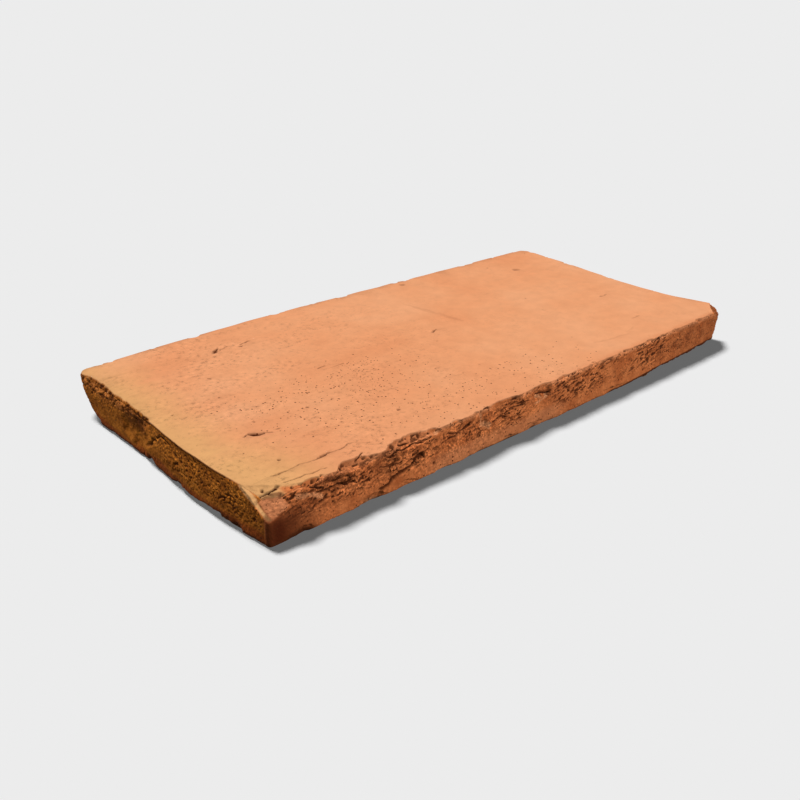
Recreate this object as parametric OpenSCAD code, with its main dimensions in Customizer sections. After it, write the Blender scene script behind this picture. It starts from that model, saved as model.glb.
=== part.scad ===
// Hand-moulded terracotta floor tile, fired in one piece and knocked about at its edges.
// It lies face up on its bed at Z = 0, with the origin at the middle of its plan.
// X runs along the length, and the front edge is the one at -Y.

/* [Tile] */
// Length over the ends
tile_length = 300; // [200:1:450]
// Width over the edges
tile_width = 150; // [100:1:300]
// Thickness from bed to face
tile_thickness = 20; // [15:0.5:40]

/* [Hand-moulded outline] */
// How far the front edge swells between its corners
front_swell = 0.75; // [0:0.25:3]
// How far the right end is hollowed at mid width
right_hollow = 6.5; // [0:0.5:10]
// How much fuller the back half of the right end is than its front half
right_skew = 2.25; // [0:0.25:3]
// How far the back edge swells between its corners
back_swell = 3.75; // [0:0.25:8]
// How much fuller the left half of the back edge is than its right half
back_skew = 1; // [0:0.25:2]
// How far the left end swells between its corners
left_swell = 2; // [0:0.25:5]
// How much fuller the front half of the left end is than its back half
left_skew = 1.5; // [0:0.25:2.5]
// Depth of the small waves that the mould left along the edges
edge_wave = 0.5; // [0:0.1:1.2]
// Length of one small wave
wave_length = 34; // [25:1:60]
// Plan radius of the two front corners
front_corner_radius = 2; // [1:0.5:8]
// Plan radius of the back right corner
back_corner_radius = 8; // [2:0.5:14]
// Plan radius of the worn corner, back left, at the face
worn_face_radius = 6; // [4:0.5:14]
// Plan radius of the worn corner at the bed
worn_bed_radius = 26; // [15:1:40]

/* [Section] */
// Easing of the upper arris
face_arris = 1; // [0.5:0.25:3]
// Easing of the lower arris
bed_arris = 2; // [1:0.25:4]
// How much the height of that easing grows towards the right end, as a share of it
bed_growth = 0.6; // [0:0.1:0.8]
// How far the sides swell at half thickness
side_swell = 0.4; // [0:0.1:1.5]
// Depth of the low waves in the hand-struck face
face_wave = 0.8; // [0:0.1:2]

/* [Knocked corners] */
// Length of the spall on the front left corner, along the front
spall_length = 19; // [6:1:25]
// Width of that spall, along the end
spall_width = 14; // [4:1:20]
// How far the spall lowers the corner of the face
spall_drop = 8.5; // [2:0.5:10]
// Length of the front right corner that is knocked off, along the front
knock_length = 12; // [5:1:25]
// Width of that knock, along the end
knock_width = 8; // [3:1:20]
// How much further in the knock runs at the bed
knock_undercut = 4; // [0:0.5:6]
// Length of the break in the lower front arris, back from the front right corner
lower_break_length = 105; // [40:1:150]
// Height of that break at the corner
lower_break_rise = 6; // [1:0.5:7]
// How far that break runs under the tile at the corner
lower_break_depth = 10; // [3:0.5:12]

/* [Chips] */
// Length of a full-size chip along the front arris
chip_length = 24; // [10:1:40]
// Depth of a full-size chip into the front
chip_bite = 4; // [1:0.25:6]
// Depth of a full-size chip below the face
chip_drop = 6; // [2:0.5:8]
// Depth of the notch in the back arris
notch_bite = 2.5; // [1:0.25:5]
// Distance of that notch from the left end
notch_at = 192; // [40:1:280]
// Length of the dent in the left end
dent_length = 27; // [10:1:50]
// Depth of the dent in the left end
dent_bite = 2.5; // [0.5:0.25:5]
// Distance of the dent's middle from the back edge
dent_from_back = 56; // [40:1:70]

/* [Hidden] */

// Breaks of the front arris: distance of the middle from the left end, then length, bite, drop and depth
// of the middle below the face, each as a share of a full-size chip. The first is the long worn stretch,
// and the others are the crevices, flakes and chips in it and beyond it.
front_chips = [[50, 4, 0.5, 0.55, 0],
               [21, 0.35, 1.1, 0.6, 0],
               [30, 0.75, 0.9, 0.6, 0.8],
               [41, 0.75, 1.5, 0.45, 0],
               [57, 0.5, 0.7, 0.75, 0.6],
               [69, 1.15, 1.6, 0.5, 0],
               [92, 0.75, 0.35, 0.9, 0.4],
               [118, 1, 0.75, 1.35, 0],
               [143, 0.6, 0.7, 1.05, 0]];

half_length = tile_length / 2;
half_width = tile_width / 2;

// Spacing of the stations round the plan, and steps in a corner and in an arris
station_gap = 6;
corner_steps = 4;
arris_steps = 3;
// Sides and levels of the angular break that a chip leaves, and how uneven it is
chip_sides = 9;
chip_levels = [-0.85, -0.45, 0, 0.45, 0.85];
chip_roughness = 0.12;
// Shares of the face's outline at which it is drawn again inside itself, for its unevenness
face_shares = [0.96, 0.8, 0.55, 0.25];

// Sides run anticlockwise from the front: front, right end, back, left end.
function along(side) = [cos(90 * side), sin(90 * side)];
function outward(side) = [sin(90 * side), -cos(90 * side)];
function bow(side) = [front_swell, -right_hollow, back_swell, left_swell][side];
function skew(side) = [0, right_skew, back_skew, left_skew][side];

// How far a side stands out at the share t of its length, and the furthest that it does
function bulge(side, t) = bow(side) * 4 * t * (1 - t) - skew(side) * sin(360 * t);
function reach(side) = max([for (t = [0 : 0.05 : 1]) bulge(side, t)]);

// Corner n is where side n begins: front left, front right, back right, back left.
function corner(n) = [n == 1 || n == 2 ? half_length - reach(1) : reach(3) - half_length,
                      n < 2 ? reach(0) - half_width : half_width - reach(2)];
function inset_corner(n, inset) = corner(n) + inset * (along(n) - along(n + 3));
function worn_radius(z) =
    worn_face_radius + (worn_bed_radius - worn_face_radius) * pow(1 - z / tile_thickness, 2);
function full_radius(n, z) =
    [front_corner_radius, front_corner_radius, back_corner_radius, worn_radius(z)][n];
function radius(n, z, inset) = max(full_radius(n, z) - inset, 1);

function corner_points(n, z, inset) =
    let (r = radius(n, z, inset), centre = inset_corner(n, inset) + r * (along(n) - along(n + 3)))
    [for (i = [0 : corner_steps])
        let (a = 90 * (n - 2 + i / corner_steps))
        [each centre + r * [cos(a), sin(a)], z]];

function side_points(n, z, inset) =
    let (next = (n + 1) % 4,
         from = inset_corner(n, inset) + radius(n, z, inset) * along(n),
         to = inset_corner(next, inset) - radius(next, z, inset) * along(n),
         run = n % 2 == 0 ? tile_length : tile_width,
         steps = round(run / station_gap))
    [for (i = [1 : steps - 1])
        let (t = i / steps,
             dip = sin(180 * t) * wave(360 * t * run / wave_length + 130 * n))
        [each (1 - t) * from + t * to + (bulge(n, t) - dip) * outward(n), z]];

// Two waves of unlike length, so that no stretch of edge repeats another; they only eat into the edge
function wave(a) = edge_wave * (1 + 0.6 * sin(a) + 0.4 * sin(1.7 * a)) / 2;

// The lower arris stands higher towards the right end
function lift(p) = [p.x, p.y, p.z > bed_arris ? p.z : p.z * (1 + bed_growth * p.x / half_length)];

// The outline at one height, drawn in by inset
function ring(z, inset) =
    [for (n = [0 : 3], p = concat(corner_points(n, z, inset), side_points(n, z, inset))) lift(p)];

// The section from bed to face as [height, inset]: lower arris, swell of the side, upper arris
section = concat(
    [for (i = [0 : arris_steps])
        let (a = 90 * i / arris_steps)
        [bed_arris * (1 - cos(a)), side_swell + bed_arris * (1 - sin(a))]],
    [[tile_thickness / 2, 0]],
    [for (i = [0 : arris_steps])
        let (a = 90 * i / arris_steps)
        [tile_thickness - face_arris * (1 - sin(a)), side_swell + face_arris * (1 - cos(a))]]);

// Height of the struck face, which the wooden rule left in low hollows that die out at the arris
function face_height(p, share) =
    tile_thickness - face_wave * (1 - share) * (2 + sin(2.1 * p.x + 40) + sin(3 * p.y - 1.2 * p.x)) / 4;
function face_ring(share) =
    [for (p = ring(tile_thickness, side_swell + face_arris))
        [p.x * share, p.y * share, face_height(p * share, share)]];

// A closed skin over rings of equal length, from a middle point below to a middle point above
module skin(rings, below, above) {
    n = len(rings[0]);
    last = len(rings) - 1;
    top = 1 + n * len(rings);
    at = function (r, i) 1 + r * n + i % n;
    polyhedron(
        points = concat([below], [for (r = rings) each r], [above]),
        faces = concat(
            [for (i = [0 : n - 1]) [0, at(0, i), at(0, i + 1)]],
            [for (r = [0 : last - 1], i = [0 : n - 1]) each
                [[at(r, i), at(r + 1, i), at(r + 1, i + 1)], [at(r, i), at(r + 1, i + 1), at(r, i + 1)]]],
            [for (i = [0 : n - 1]) [top, at(last, i + 1), at(last, i)]]));
}

module moulded_slab() {
    rings = concat([for (s = section) ring(s[0], s[1])], [for (share = face_shares) face_ring(share)]);
    skin(rings, [0, 0, 0], [0, 0, face_height([0, 0], 0)]);
}

// The block that lies beyond the plane through three points, on the side from which they run anticlockwise
module beyond_plane(a, b, c) {
    block = tile_length;
    normal = cross(b - a, c - a);
    translate((a + b + c) / 3)
        rotate([0, acos(normal.z / norm(normal)), atan2(normal.y, normal.x)])
            translate([-block / 2, -block / 2, 0])
                cube(block);
}

module spalled_corner() {
    tip = [each corner(0), tile_thickness];
    beyond_plane(tip + [0, spall_width, 0], tip - [0, 0, spall_drop], tip + [spall_length, 0, 0]);
}

module knocked_corner() {
    tip = [each corner(1), tile_thickness];
    beyond_plane(tip - [knock_length, 0, 0],
                 tip - [knock_length + knock_undercut, 0, tile_thickness],
                 tip + [0, knock_width, 0]);
}

module lower_arris_break() {
    tip = [each corner(1), 0];
    beyond_plane(tip - [lower_break_length, 0, 0],
                 tip + [0, lower_break_depth, 0],
                 tip + [0, 0, lower_break_rise]);
}

// The scoop that a chip leaves, round a middle at the origin and angular as broken clay is
module chip(length, bite, drop, turn) {
    rings = [for (h = chip_levels)
        [for (i = [0 : chip_sides - 1])
            let (a = 360 * i / chip_sides + turn,
                 r = sqrt(1 - h * h) * (1 + chip_roughness * sin(3 * a + 5 * turn)))
            [r * cos(a) * length / 2, r * sin(a) * bite, h * drop]]];
    skin(rings, [0, 0, -drop], [0, 0, drop]);
}

module front_arris_chips() {
    for (c = front_chips)
        translate([c[0] - half_length, -half_width, tile_thickness - c[4] * chip_drop])
            chip(c[1] * chip_length, c[2] * chip_bite, c[3] * chip_drop, c[0]);
}

module back_arris_notch() {
    arris_y = half_width - side_swell - face_arris;
    translate([notch_at - half_length, arris_y - notch_bite, tile_thickness])
        rotate([-45, 0, 45])
            cube(2 * notch_bite);
}

module end_dent() {
    translate([-half_length + left_swell, half_width - dent_from_back, tile_thickness / 2])
        rotate(90)
            chip(dent_length, dent_bite, tile_thickness / 2, 0);
}

module terracotta_tile() {
    color("#d98a5f")
        difference() {
            moulded_slab();
            spalled_corner();
            knocked_corner();
            lower_arris_break();
            front_arris_chips();
            back_arris_notch();
            end_dent();
        }
}

terracotta_tile();
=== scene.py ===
import itertools
import math

import bpy
import numpy as np
from mathutils import Matrix, Vector


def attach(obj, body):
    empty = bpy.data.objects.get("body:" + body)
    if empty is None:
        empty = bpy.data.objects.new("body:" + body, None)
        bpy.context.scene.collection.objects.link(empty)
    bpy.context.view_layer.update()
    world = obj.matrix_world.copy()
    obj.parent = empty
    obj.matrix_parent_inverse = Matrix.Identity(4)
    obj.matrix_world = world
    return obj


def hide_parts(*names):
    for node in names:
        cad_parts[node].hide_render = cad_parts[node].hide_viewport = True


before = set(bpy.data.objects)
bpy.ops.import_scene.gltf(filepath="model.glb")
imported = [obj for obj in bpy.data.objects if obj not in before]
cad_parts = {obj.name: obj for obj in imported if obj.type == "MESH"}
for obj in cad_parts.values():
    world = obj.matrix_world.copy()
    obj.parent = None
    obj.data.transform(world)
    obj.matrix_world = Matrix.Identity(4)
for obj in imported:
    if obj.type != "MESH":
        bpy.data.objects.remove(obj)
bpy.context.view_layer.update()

# Shapes are worked out in millimetres in the CAD frame, and mm turns them to Blender's metres.
mm = 0.001
tileNode = "terracotta_tile"

# The moulded slab. Names and values follow the CAD source. The sides are front, right, back and left:
# each one swells or hollows by its bow, and its skew makes one half of it fuller than the other.
slab = {
    "length": 300.0,
    "width": 150.0,
    "thickness": 20.0,
    "bow": (0.75, -6.5, 3.75, 2.0),
    "skew": (0.0, 2.25, 1.0, 1.5),
    "edgeWave": 0.5,
    "waveLength": 34.0,
    "cornerRadius": (2.0, 2.0, 8.0, 6.0),
    "wornBedRadius": 26.0,   # the back left corner's radius at the bed
    "faceArris": 1.0,
    "bedArris": 2.0,
    "bedGrowth": 0.6,
    "sideSwell": 0.4,
    "faceWave": 0.8,
    "columns": 620,      # grid lines across the length, closer together towards the left end
    "rows": 400,         # grid lines across the width, closer together towards the front
    "columnGrowth": 1.2,
    "rowGrowth": 0.4,
    "cornerSteps": 10,   # grid lines in half a corner
    "arrisSteps": 8,
    "wallSteps": 46,
    "coreDepth": 10.0,   # relief is cut straight in towards a core this far inside every side
    "triangles": 192000,
    "fullDetail": (150.0, -64.0, -141.0),   # no thinning left of x in front of y, or left of the last x
}


def smoothStep(low, high, x):
    # 0 below low, 1 above high, and an s-curve between them
    t = np.clip((x - low) / (high - low), 0, 1)
    return t * t * (3 - 2 * t)


def latticeNoise(points, size, seed):
    # value noise: a random number on each lattice point, blended by an s-curve between the nearest eight
    values = np.random.default_rng(seed).random((64, 64, 64)) * 2 - 1
    spots = points / size
    cell = np.floor(spots).astype(int)
    part = spots - cell
    part = part * part * (3 - 2 * part)
    total = np.zeros(len(points))
    for corner in itertools.product((0, 1), repeat=3):
        index = (cell + corner) & 63
        weight = np.prod(np.where(corner, part, 1 - part), axis=1)
        total += weight * values[index[:, 0], index[:, 1], index[:, 2]]
    return total


def clayNoise(points, size, seed, octaves=3):
    # lattice noise with finer and weaker copies of itself added, each half the size and strength; every use
    # has a seed of its own, so that no two patterns run together
    total = sum(latticeNoise(points, np.asarray(size) / 2**i, seed + i) / 2**i for i in range(octaves))
    return total / (2 - 0.5 ** (octaves - 1))


def pores(points, cell, seed, share, smallest, largest):
    # round voids in the clay, one to a lattice cell in some of the cells: depth of a point inside one
    draw = np.random.default_rng(seed)
    shift = draw.random((64, 64, 64, 3))
    girth = draw.random((64, 64, 64)) ** 2
    chance = draw.random((64, 64, 64))
    home = np.floor(points / cell).astype(int)
    depth = np.zeros(len(points))
    for step in itertools.product((-1, 0, 1), repeat=3):
        index = tuple(((home + step) & 63).T)
        centre = (home + step + shift[index]) * cell
        radius = smallest + (largest - smallest) * girth[index]
        inside = radius - np.linalg.norm(points - centre, axis=1)
        depth = np.maximum(depth, np.where(chance[index] < share, inside, 0))
    return depth


def lineDistance(flat, line):
    # distance of each point from the nearest stretch of a line drawn through a few points
    nearest = np.full(len(flat), 1e9)
    for a, b in zip(np.array(line[:-1], float), np.array(line[1:], float)):
        share = np.clip((flat - a) @ (b - a) / ((b - a) @ (b - a)), 0, 1)
        nearest = np.minimum(nearest, np.linalg.norm(flat - a - share[:, None] * (b - a), axis=1))
    return nearest


def gradedSteps(count, growth):
    # numbers from 0 to 1 whose spacing grows evenly to 1 + growth times the first
    return ((1 + growth) ** (np.arange(count + 1) / count) - 1) / growth


def along(side):
    # the way that a side runs, a quarter turn further for each side from the front
    return np.array([math.cos(math.pi / 2 * side), math.sin(math.pi / 2 * side)])


def outward(side):
    # the way out of a side, a quarter turn back from the way that it runs
    return np.array([math.sin(math.pi / 2 * side), -math.cos(math.pi / 2 * side)])


def bulge(side, t):
    # how far a side stands out at the share t of its length: a parabola for its bow and a sine for its skew
    return slab["bow"][side] * 4 * t * (1 - t) - slab["skew"][side] * np.sin(2 * math.pi * t)


def cornerRadius(corner, z, inset):
    # the worn corner's radius grows with the square of the depth below the face
    worn = slab["wornBedRadius"] - slab["cornerRadius"][3]
    growth = worn * (1 - z / slab["thickness"]) ** 2 if corner == 3 else 0
    return np.maximum(slab["cornerRadius"][corner] + growth - inset, 1)


def cornerPlace(corner, inset):
    # a corner stands back from the overall size by as much as the two sides reach out beyond it
    front, right, back, left = (bulge(side, np.linspace(0, 1, 21)).max() for side in range(4))
    x = slab["length"] / 2 - right if corner in (1, 2) else left - slab["length"] / 2
    y = front - slab["width"] / 2 if corner < 2 else slab["width"] / 2 - back
    return np.array([x, y]) + np.asarray(inset)[..., None] * (along(corner) - along(corner + 3))


def sideRun(side, z, inset):
    # one side of the outline at each height: half a corner's arc, then a straight run with its bulge and
    # small waves set off outwards, then half the next corner's arc; the next side's first point is left out
    count = slab["columns"] if side % 2 == 0 else slab["rows"]
    growth = slab["columnGrowth"] if side % 2 == 0 else slab["rowGrowth"]
    steps = gradedSteps(count - 2 * slab["cornerSteps"], growth)
    t = steps if side < 2 else 1 - steps[::-1]
    follower = (side + 1) % 4
    run = slab["length"] if side % 2 == 0 else slab["width"]
    phase = 2 * math.pi * t * run / slab["waveLength"] + math.radians(130 * side)
    wave = slab["edgeWave"] * (1 + 0.6 * np.sin(phase) + 0.4 * np.sin(1.7 * phase)) / 2
    off = bulge(side, t) - np.sin(math.pi * t) * wave
    ra, rb = cornerRadius(side, z, inset), cornerRadius(follower, z, inset)
    start = cornerPlace(side, inset) + ra[..., None] * along(side)
    end = cornerPlace(follower, inset) - rb[..., None] * along(side)
    straight = start[:, None] * (1 - t)[:, None] + end[:, None] * t[:, None] + off[:, None] * outward(side)
    turn = math.pi / 4 * np.arange(slab["cornerSteps"]) / slab["cornerSteps"]
    arcs = []
    for radius, place, angle in ((ra, start, turn - math.pi / 4), (rb, end, turn + math.pi / 4 / len(turn))):
        angle = angle + math.pi / 2 * (side - 1)
        spoke = np.stack([np.cos(angle), np.sin(angle)], -1)
        centre = place - radius[..., None] * outward(side)
        arcs.append(centre[:, None] + radius[:, None, None] * spoke)
    return np.concatenate([arcs[0], straight, arcs[1][:, :-1]], axis=1)


def outlineRings(z, inset):
    # the whole outline at each height, anticlockwise from the middle of the front left corner
    return np.concatenate([sideRun(side, z, inset) for side in range(4)], axis=1)


def patchGrid(ring):
    # a grid over an outline: opposite sides blended across, both ways, less the blend of the four corners
    nx, ny = slab["columns"], slab["rows"]
    closed = np.concatenate([ring, ring[:1]])
    front, right = closed[: nx + 1], closed[nx : nx + ny + 1]
    back, left = closed[nx + ny : 2 * nx + ny + 1][::-1], closed[2 * nx + ny :][::-1]
    u = ((front[:, 0] - front[0, 0]) / (front[-1, 0] - front[0, 0]))[None, :, None]
    v = ((left[:, 1] - left[0, 1]) / (left[-1, 1] - left[0, 1]))[:, None, None]
    lengthwise = front[None] * (1 - v) + back[None] * v
    crosswise = left[:, None] * (1 - u) + right[:, None] * u
    corners = (front[0] * (1 - u) + front[-1] * u) * (1 - v) + (back[0] * (1 - u) + back[-1] * u) * v
    return lengthwise + crosswise - corners


def slabSection():
    # heights and insets from the face's rim down to the bed: a quarter round, a gently swelling wall
    # whose inset grows with the square of the distance from half height, and a larger quarter round
    thick, face, bed, swell = (slab[k] for k in ("thickness", "faceArris", "bedArris", "sideSwell"))
    a = np.linspace(0, math.pi / 2, slab["arrisSteps"] + 1)
    wall = np.linspace(thick - face, bed, slab["wallSteps"] + 1)[1:-1]
    z = np.concatenate([thick - face * (1 - np.cos(a)), wall, bed * (1 - np.sin(a))])
    roundings = np.concatenate([face * (1 - np.sin(a)), 0 * wall, bed * (1 - np.cos(a))])
    return z, roundings + swell * (2 * z / thick - 1) ** 2


def slabMesh():
    # points and four-sided faces of the slab: a grid for the face, one for the bed and rings between them
    nx, ny = slab["columns"], slab["rows"]
    z, inset = slabSection()
    rings = outlineRings(z, inset)
    wall = np.concatenate([rings, np.broadcast_to(z[:, None, None], rings.shape[:2] + (1,))], axis=2)
    lift = slab["bedGrowth"] * slab["bedArris"] * wall[..., 0] / (slab["length"] / 2)
    rise = np.minimum(wall[..., 2] / slab["bedArris"], 1)
    wall[..., 2] += lift * rise * smoothStep(slab["thickness"] / 2, slab["bedArris"], wall[..., 2])
    face, bed = patchGrid(rings[0]), patchGrid(rings[-1])
    share = np.maximum(abs(face[..., 0]) / slab["length"], abs(face[..., 1]) / slab["width"]) * 2
    swing = 2 + np.sin(np.radians(2.1 * face[..., 0] + 40))
    swing += np.sin(np.radians(3 * face[..., 1] - 1.2 * face[..., 0]))
    faceZ = slab["thickness"] - slab["faceWave"] * np.clip(1 - share, 0, 1) * swing / 4
    points = np.concatenate([
        np.dstack([face, faceZ]).reshape(-1, 3),
        np.dstack([bed, 0 * bed[..., 0]]).reshape(-1, 3),
        wall[1:-1].reshape(-1, 3),
    ])
    faceIndex = np.arange((nx + 1) * (ny + 1)).reshape(ny + 1, nx + 1)
    bedIndex = faceIndex + faceIndex.size
    ends = [
        np.concatenate([grid[0, :-1], grid[:-1, -1], grid[-1, :0:-1], grid[:0:-1, 0]])
        for grid in (faceIndex, bedIndex)
    ]
    between = np.arange((len(z) - 2) * len(ends[0])).reshape(len(z) - 2, -1) + 2 * faceIndex.size
    ladder = np.vstack([ends[0], between, ends[1]])
    turned = np.roll(ladder, -1, axis=1)
    quads = [
        np.stack([faceIndex[:-1, :-1], faceIndex[:-1, 1:], faceIndex[1:, 1:], faceIndex[1:, :-1]], -1),
        np.stack([bedIndex[:-1, :-1], bedIndex[1:, :-1], bedIndex[1:, 1:], bedIndex[:-1, 1:]], -1),
        np.stack([ladder[:-1], ladder[1:], turned[1:], turned[:-1]], -1),
    ]
    return points, np.concatenate([q.reshape(-1, 4) for q in quads])


def wayIn(points):
    # direction from each point to the core: straight down on the face, level on the walls and aslant
    # between them
    core = slab["coreDepth"]
    reach = np.array([slab["length"] / 2 - core, slab["width"] / 2 - core])
    height = np.full(len(points), slab["thickness"] / 2)
    goal = np.column_stack([np.clip(points[:, :2], -reach, reach), height])
    way = goal - points
    return way / np.linalg.norm(way, axis=1)[:, None]


# What has been knocked off. Chips are placed along the front from the left end, within 2 mm of the CAD
# source's. A pair of numbers is where something sets in and where it is full, along x or y or in height.
losses = {
    "chips": (  # from the left end, length, bite into the front, drop, depth of the middle below the face
        (50, 96.0, 1.5, 2.8, 0.0),
        (23, 8.4, 4.0, 3.6, 0.0),
        (31, 18.0, 3.6, 3.6, 4.8),
        (42, 17.0, 4.8, 2.7, 0.0),
        (58, 12.0, 2.8, 4.5, 3.6),
        (70, 27.6, 5.8, 3.0, 0.0),
        (93, 18.0, 1.4, 5.4, 2.4),
        (119.5, 24.0, 2.5, 8.1, 0.0),
        (144, 14.4, 2.4, 6.3, 0.0),
    ),
    "spall": (19.0, 14.0, 8.5),  # length along the front, width along the end, drop of the corner
    "spallEdge": ((-153, -66.5), (-146, -66.5), (-142, -67.5), (-138, -70), (-136, -76)),   # in x and y
    "spallStep": 1.0,            # the broken part of the spall lies this much lower than its edge
    "spallArea": ((-136, -139), (9, 12)),   # its fresh clay, along x and in height
    "highlitLip": (2.6, 1.6),           # distance of the pale lip beside the spall from the left end, a painted highlight
    "lipAlong": (-54, -60),
    "knock": (12.0, 8.0, 4.0),   # length along the front, width along the end, further in at the bed
    "lowerBreak": (105.0, 10.0, 6.0),   # length along the front, depth under the tile, height at the corner
    "tip": (4.5, 3.2),           # run and drop of the bevel that the knocked corner's arris is worn to
    "tipArea": ((134, 138), (16.5, 17.5)),
    "foot": (3.4, (-62, -50), (5, -7)),     # width of the left end's worn lower arris, its start and its end
    "ledgeBites": (  # square breaks of the front: from the left end, length, bite, height of floor and top
        (20, 8.0, 1.6, 15.8, 17.8),
        (109, 4.0, 1.5, 11.5, 21.0),
        (146, 9.0, 2.2, 14.2, 18.6),
    ),
    "rims": (  # arrises worn to a ragged chamfer: side, its width, the length of its waves
        (0, 2.3, 11.0),
        (1, 1.8, 17.0),
        (2, 2.4, 23.0),
    ),
    "rimCrumb": (1.8, 0.5),      # size and depth of the crumbs that those arrises have lost
    "bedChips": (  # breaks of the lower front arris: from the left end, length, bite, rise
        (17, 14.0, 2.2, 3.4),
        (49, 18.0, 2.8, 4.0),
        (66, 9.0, 1.8, 3.4),
        (125, 12.0, 1.8, 3.0),
        (142, 16.0, 1.8, 3.6),
        (200, 26.0, 1.6, 4.2),
    ),
    "crumble": (2.8, (2, 8), (68, 60)),     # width of the crumbled left arris, its start and its end
    "crumbledArea": ((-140, -142), (0, 4)),
    "dent": (27.0, 2.5, 56.0),   # length, bite, distance of its middle from the back edge
    "notch": (192.0, 2.5),       # distance from the left end, depth
    "flakes": ((-116, -114), (-68, -70), (16.5, 18)),   # pink flakes: x from both sides, and height
    "weathered": (-139, -136),   # right of this the breaks have the walls' colour
    "creviceSink": 3.0,          # chips that lie deeper than this under the face get painted shade
    "raggedness": 1.0,
    "raggedSize": 4.5,
    "ledges": 5,                 # steps that the ragged break is split into
    "tries": 60,                 # steps that a point may take to get out of a loss
    "shortest": 0.04,            # the shortest and longest of those steps
    "longest": 0.6,
}


def scoop(points, middle, radii):
    # depth inside an egg-shaped hollow
    return (1 - np.linalg.norm((points - middle) / radii, axis=1)) * min(radii)


def beyondPlane(points, a, b, c):
    # height above the plane through three points
    normal = np.cross(np.subtract(b, a), np.subtract(c, a))
    return (points - a) @ (normal / np.linalg.norm(normal))


def beyondLine(points, line):
    # how far a point lies in front of a line drawn from left to right across the face
    x, y = np.array(line, float).T
    return np.interp(points[:, 0], x, y) - points[:, 1]


def insideSide(points, side):
    # how far inside a side's outline a point lies, without the small waves, and its place along that side
    start = cornerPlace(side, 0)
    run = np.linalg.norm(cornerPlace((side + 1) % 4, 0) - start)
    off = points[:, :2] - start
    place = off @ along(side)
    return bulge(side, np.clip(place / run, 0, 1)) - off @ outward(side), place


def spallSlope(points):
    # height of a point above the slope of the spalled corner
    length, width, drop = losses["spall"]
    tip = np.append(cornerPlace(0, 0), slab["thickness"])
    return beyondPlane(points, tip + (0, width, 0), tip - (0, 0, drop), tip + (length, 0, 0))


def lowerBreak(points):
    # depth of a point beyond the break of the lower front arris
    length, inward, rise = losses["lowerBreak"]
    tip = np.append(cornerPlace(1, 0), 0)
    return beyondPlane(points, tip - (length, 0, 0), tip + (0, inward, 0), tip + (0, 0, rise))


def knockPlane(points):
    # height of a point beyond the plane at which the front right corner is knocked off
    length, width, under = losses["knock"]
    tip = np.append(cornerPlace(1, 0), slab["thickness"])
    low = tip - (length + under, 0, slab["thickness"])
    return beyondPlane(points, tip - (length, 0, 0), low, tip + (0, width, 0))


def tipBevel(points):
    # height of a point beyond the bevel of that corner's upper arris
    length, width, _ = losses["knock"]
    run, drop = losses["tip"]
    tip = np.append(cornerPlace(1, 0), slab["thickness"])
    left, right = tip - (length, 0, 0), tip + (0, width, 0)
    inward = run * np.array([-width, length, 0]) / math.hypot(length, width)
    return beyondPlane(points, left + inward, left - (0, 0, drop), right + inward)


def knockedOff(points):
    # how deep a point lies in any of the losses, before their break is made ragged
    halfLength, halfWidth, thick = slab["length"] / 2, slab["width"] / 2, slab["thickness"]
    depths = []
    for place, length, bite, drop, sink in losses["chips"]:
        depths.append(scoop(points, (place - halfLength, -halfWidth, thick - sink), (length / 2, bite, drop)))
    slope = spallSlope(points)
    depths.append(slope)
    depths.append(np.minimum(slope + losses["spallStep"], beyondLine(points, losses["spallEdge"])))
    depths.append(knockPlane(points))
    depths.append(tipBevel(points))
    depths.append(lowerBreak(points))
    for place, length, bite, rise in losses["bedChips"]:
        depths.append(scoop(points, (place - halfLength, -halfWidth, 0), (length / 2, bite, rise)))
    x, y, z = points.T
    aslant = 1.4   # a chamfer's depth, at 45 degrees, is what it takes off sideways and down over this
    for place, length, bite, floor, top in losses["ledgeBites"]:
        across = length / 2 - abs(x + halfLength - place)
        depths.append(np.minimum.reduce([across, bite - halfWidth - y, z - floor, top - z]))
    size, deep = losses["rimCrumb"]
    crumb = deep * latticeNoise(points, size, 15)
    for side, width, wave in losses["rims"]:
        inside, place = insideSide(points, side)
        turn = math.pi * place / wave
        width = width * (0.5 + 0.3 * np.sin(2 * turn) + 0.2 * np.sin(turn + 1))
        depths.append((width - inside - (thick - z)) / aslant + crumb)
    width, first, last = losses["crumble"]
    width = width * smoothStep(*first, y) * smoothStep(*last, y)
    depths.append((width - insideSide(points, 3)[0] - (thick - z)) / aslant)
    width, first, last = losses["foot"]
    width = width * smoothStep(*first, y) * smoothStep(*last, y)
    depths.append((width * (0.8 + 0.2 * np.sin(y / 3.5)) - insideSide(points, 3)[0] - z) / aslant)
    length, bite, fromBack = losses["dent"]
    middle = (-halfLength + slab["bow"][3], halfWidth - fromBack, thick / 2)
    depths.append(scoop(points, middle, (bite, length / 2, thick / 2)))
    place, bite = losses["notch"]
    middle = (place - halfLength, halfWidth - slab["sideSwell"], thick)
    depths.append(scoop(points, middle, (1.3 * bite, bite + slab["faceArris"], bite)))
    return np.max(depths, axis=0)


def breakDepth(points, way):
    # how far in each point has to move to leave the losses: stepped along its way until it is outside;
    # the break's raggedness is noise, half of it rounded to a few levels so that it splits into ledges
    depth = np.zeros(len(points))
    live = np.flatnonzero(knockedOff(points) > -losses["raggedness"])
    for step in range(losses["tries"]):
        spots = points[live] + depth[live, None] * way[live]
        rough = clayNoise(spots, losses["raggedSize"], 11)
        rough = (rough + np.round(rough * losses["ledges"]) / losses["ledges"]) / 2
        left = knockedOff(spots) + losses["raggedness"] * rough
        depth[live] += np.where(left > 0, np.clip(0.7 * left, losses["shortest"], losses["longest"]), 0)
        live = live[left > 0]
        if len(live) == 0:
            break
    return depth


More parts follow.
